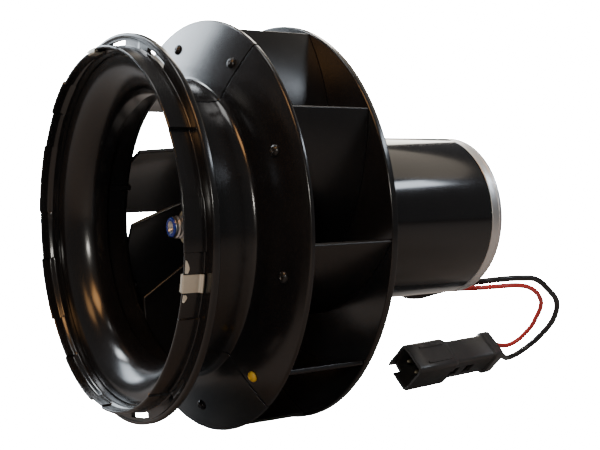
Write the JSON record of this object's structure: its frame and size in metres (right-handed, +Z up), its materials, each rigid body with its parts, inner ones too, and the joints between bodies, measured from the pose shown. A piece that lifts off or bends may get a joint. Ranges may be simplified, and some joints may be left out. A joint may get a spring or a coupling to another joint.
{
  "type": "blower motor wheel",
  "caption": "Motorised backward-curved blower wheel with a flared inlet ring, a direct-drive motor and a short wired connector.",
  "frame": {"origin": "middle of the motor's rear mounting face, on the wheel's axis", "axes": "Y is the wheel's axis, with +Y out of the motor's rear and the air entering at -Y; +Z is up as the assembly lies in its rest pose"},
  "size_m": [0.1998, 0.3029, 0.1998],
  "materials": {
    "steel": "ground steel",
    "black_paint": "gloss black paint",
    "wheel_black": "gloss black moulding",
    "rivet_steel": "plain steel",
    "zinc_plate": "zinc plate",
    "copper": "copper",
    "bare_aluminium": "bare machined",
    "ferrite": "sintered ferrite",
    "carbon": "carbon graphite",
    "phenolic": "phenolic board",
    "black_rubber": "matt rubber",
    "wire_black": "smooth insulation",
    "wire_red": "smooth insulation",
    "connector_plastic": "satin black moulding",
    "pin_brass": "tin-free brass",
    "ring_black": "gloss black moulding"
  },
  "bodies": {
    "motor": {"motor_can": "black_paint", "end_bell": "bare_aluminium", "front_bearing": "steel", "rear_bearing": "steel", "magnet_1": "ferrite", "magnet_2": "ferrite", "magnet_3": "ferrite", "magnet_4": "ferrite", "motor_bolt_1": "steel", "motor_bolt_2": "steel", "brush_plate": "phenolic", "brush_1": "carbon", "brush_2": "carbon", "brush_spring_1": "steel", "brush_spring_2": "steel", "wire_grommet": "black_rubber", "wire_black": "wire_black", "wire_red": "wire_red", "connector_housing": "connector_plastic", "connector_pin_1": "pin_brass", "connector_pin_2": "pin_brass", "connector_seal": "black_rubber"},
    "wheel": {"motor_shaft": "steel", "hub": "black_paint", "hub_washer": "zinc_plate", "hub_nut": "zinc_plate", "back_plate": "wheel_black", "blade_01": "wheel_black", "blade_02": "wheel_black", "blade_03": "wheel_black", "blade_04": "wheel_black", "blade_05": "wheel_black", "blade_06": "wheel_black", "blade_07": "wheel_black", "blade_08": "wheel_black", "blade_09": "wheel_black", "blade_10": "wheel_black", "rivet_01": "rivet_steel", "rivet_02": "rivet_steel", "rivet_03": "rivet_steel", "rivet_04": "rivet_steel", "rivet_05": "rivet_steel", "rivet_06": "rivet_steel", "rivet_07": "rivet_steel", "rivet_08": "rivet_steel", "rivet_09": "rivet_steel", "rivet_10": "rivet_steel", "shroud_segment_1": "wheel_black", "shroud_segment_2": "wheel_black", "shroud_segment_3": "wheel_black", "armature_core": "steel", "winding_front": "copper", "winding_rear": "copper", "commutator": "copper"},
    "inlet_ring": {"inlet_ring": "ring_black", "bell_mouth": "ring_black", "ring_clip_1": "zinc_plate", "ring_clip_2": "zinc_plate"}
  },
  "joints": [
    {"name": "wheel_spin", "type": "hinge", "parent": "motor", "child": "wheel", "pos_m": [0, -0.16, 0], "axis": [0, 1, 0], "continuous": true},
    {"name": "ring_slide", "type": "slide", "parent": "motor", "child": "inlet_ring", "axis": [0, -1, 0], "range_m": [0, 0.06]}
  ]
}
